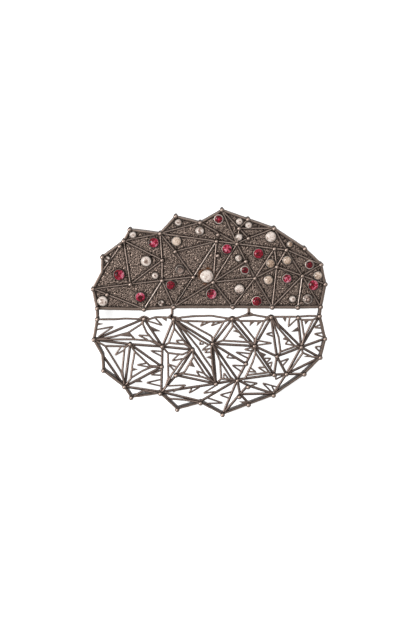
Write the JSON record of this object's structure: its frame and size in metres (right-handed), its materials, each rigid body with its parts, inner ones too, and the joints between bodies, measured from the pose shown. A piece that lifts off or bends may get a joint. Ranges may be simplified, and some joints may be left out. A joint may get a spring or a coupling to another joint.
{
  "type": "openwork brooch",
  "caption": "Flat round silver brooch, a grainy stone-set plate above a slit and its mirror image in open wire below, with a pin on the back.",
  "frame": {"origin": "under the middle of the brooch, level with the lowest point of the pin fitting on the back", "axes": "+X along the slit, to the right of someone looking at the front; +Y up the brooch, towards the solid half; +Z out of the front"},
  "size_m": [0.0592, 0.0532, 0.0052],
  "materials": {
    "silver": "oxidised silver, darkened in the recesses",
    "ruby": "polished, faceted",
    "diamond": "polished, faceted",
    "pin_silver": "worn silver"
  },
  "bodies": {
    "root": {"silver_frame": "silver", "pin_fitting": "pin_silver", "ruby_01": "ruby", "ruby_02": "ruby", "ruby_03": "ruby", "ruby_04": "ruby", "ruby_05": "ruby", "ruby_06": "ruby", "ruby_07": "ruby", "ruby_08": "ruby", "ruby_09": "ruby", "ruby_10": "ruby", "ruby_11": "ruby", "ruby_12": "ruby", "ruby_13": "ruby", "diamond_01": "diamond", "diamond_02": "diamond", "diamond_03": "diamond", "diamond_04": "diamond", "diamond_05": "diamond", "diamond_06": "diamond", "diamond_07": "diamond", "diamond_08": "diamond", "diamond_09": "diamond", "diamond_10": "diamond", "diamond_11": "diamond", "diamond_12": "diamond", "diamond_13": "diamond", "diamond_14": "diamond", "diamond_15": "diamond", "diamond_16": "diamond", "diamond_17": "diamond", "diamond_18": "diamond", "diamond_19": "diamond", "diamond_20": "diamond", "diamond_21": "diamond", "diamond_22": "diamond", "diamond_23": "diamond", "diamond_24": "diamond"}
  },
  "joints": []
}
